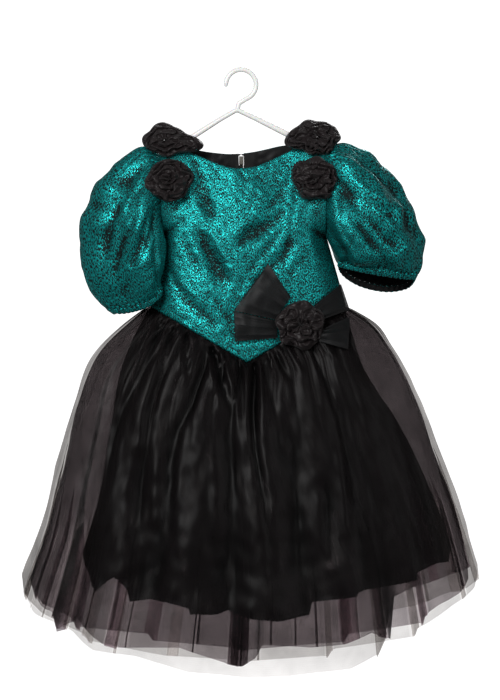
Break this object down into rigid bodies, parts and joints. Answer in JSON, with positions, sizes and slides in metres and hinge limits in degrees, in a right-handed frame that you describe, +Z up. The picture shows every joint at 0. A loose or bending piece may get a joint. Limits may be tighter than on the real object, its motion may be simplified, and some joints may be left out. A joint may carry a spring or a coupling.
{
  "type": "flower girl dress on a plastic hanger",
  "caption": "Girl's party dress with a pointed teal bodice, puff sleeves, black net skirts, shoulder rosettes and a waist bow, hung on a white plastic hanger.",
  "frame": {"origin": "inner top of the bend of the hanger's hook, where a rail carries it", "axes": "+Z up, +X to the viewer's right of the front, the front of the dress faces -Y"},
  "size_m": [0.684, 0.2373, 0.9002],
  "materials": {
    "teal_lame": "woven lame, teal metallic threads on a black ground",
    "black_taffeta": "plain woven taffeta with a soft sheen",
    "black_tulle": "fine hexagonal net, see-through",
    "black_organza": "sheer crisp organza",
    "rosette_taffeta": "crumpled taffeta strips",
    "zip_tape": "woven polyester tape with a coil",
    "zip_metal": "die-cast and plated",
    "hanger_plastic": "white injection moulded polystyrene"
  },
  "bodies": {
    "dress": {"bodice_back_left": "teal_lame", "bodice_back_right": "teal_lame", "bodice_front": "teal_lame", "bow_left_lower": "black_organza", "bow_left_upper": "black_organza", "bow_right_lower": "black_organza", "bow_right_upper": "black_organza", "cuff_left": "teal_lame", "cuff_right": "teal_lame", "facing_left": "black_taffeta", "facing_right": "black_taffeta", "hanger": "hanger_plastic", "rosette_left_lower": "rosette_taffeta", "rosette_left_upper": "rosette_taffeta", "rosette_right_lower": "rosette_taffeta", "rosette_right_upper": "rosette_taffeta", "rosette_waist": "rosette_taffeta", "sleeve_left": "teal_lame", "sleeve_right": "teal_lame", "tulle_inner_back": "black_tulle", "tulle_inner_front": "black_tulle", "tulle_outer_back": "black_tulle", "tulle_outer_front": "black_tulle", "underskirt_back": "black_taffeta", "underskirt_front": "black_taffeta", "zip_chain": "zip_tape", "zip_slider": "zip_metal", "zip_tape_left": "zip_tape", "zip_tape_right": "zip_tape"},
    "pull_tab": {"zip_pull": "zip_metal"}
  },
  "joints": [
    {"name": "pull_tab_hinge", "type": "hinge", "parent": "dress", "child": "pull_tab", "pos_m": [0.00038, 0.0194, -0.132], "axis": [1, 0, 0], "range_deg": [0, 160]}
  ]
}
